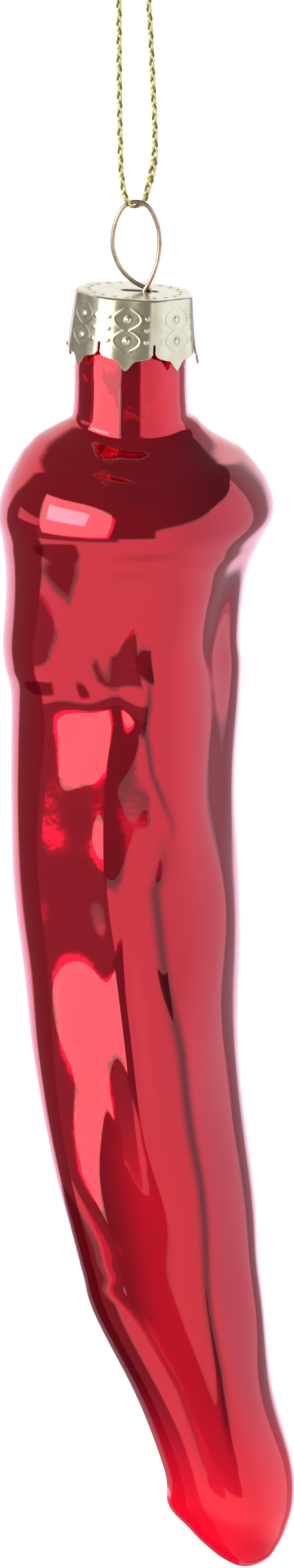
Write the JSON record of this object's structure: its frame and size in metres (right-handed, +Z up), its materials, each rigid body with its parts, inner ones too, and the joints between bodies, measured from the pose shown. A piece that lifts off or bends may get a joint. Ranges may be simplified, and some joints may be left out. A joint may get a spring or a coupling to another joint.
{
  "type": "hanging ornament",
  "caption": "Blown, silvered red glass chili pepper that hangs from a gold cord loop by a sprung wire ring and a stamped metal cap.",
  "frame": {"origin": "just under the knot of the cord loop, where the loop hangs on a hook or twig", "axes": "+Z up along the hanging line, the ring and the fold of the pepper face -Y, the tip curls towards +X and forward"},
  "size_m": [0.0338, 0.0335, 0.2012],
  "materials": {
    "red_glass": "silvered inside, clear red lacquer, high gloss",
    "gold_cap": "bright pale gold, stamped",
    "spring_wire": "rosy gold washed spring wire",
    "gold_cord": "metallised gold cord"
  },
  "bodies": {
    "cord": {"cord_loop": "gold_cord", "cord_knot": "gold_cord"},
    "hanger": {"hanger_wire": "spring_wire"},
    "cap": {"metal_cap": "gold_cap"},
    "pepper": {"glass_pepper": "red_glass"}
  },
  "joints": [
    {"name": "cord_swing", "type": "hinge", "parent": "cord", "child": "hanger", "pos_m": [0.0006, 0, -0.0407], "axis": [0, 1, 0], "range_deg": [-30, 30]},
    {"name": "ring_rock", "type": "hinge", "parent": "hanger", "child": "cap", "pos_m": [0.0017, 0, -0.0491], "axis": [1, 0, 0], "range_deg": [-10, 10]},
    {"name": "cap_pull", "type": "slide", "parent": "cap", "child": "pepper", "axis": [0, 0, -1], "range_m": [0, 0.022]}
  ]
}
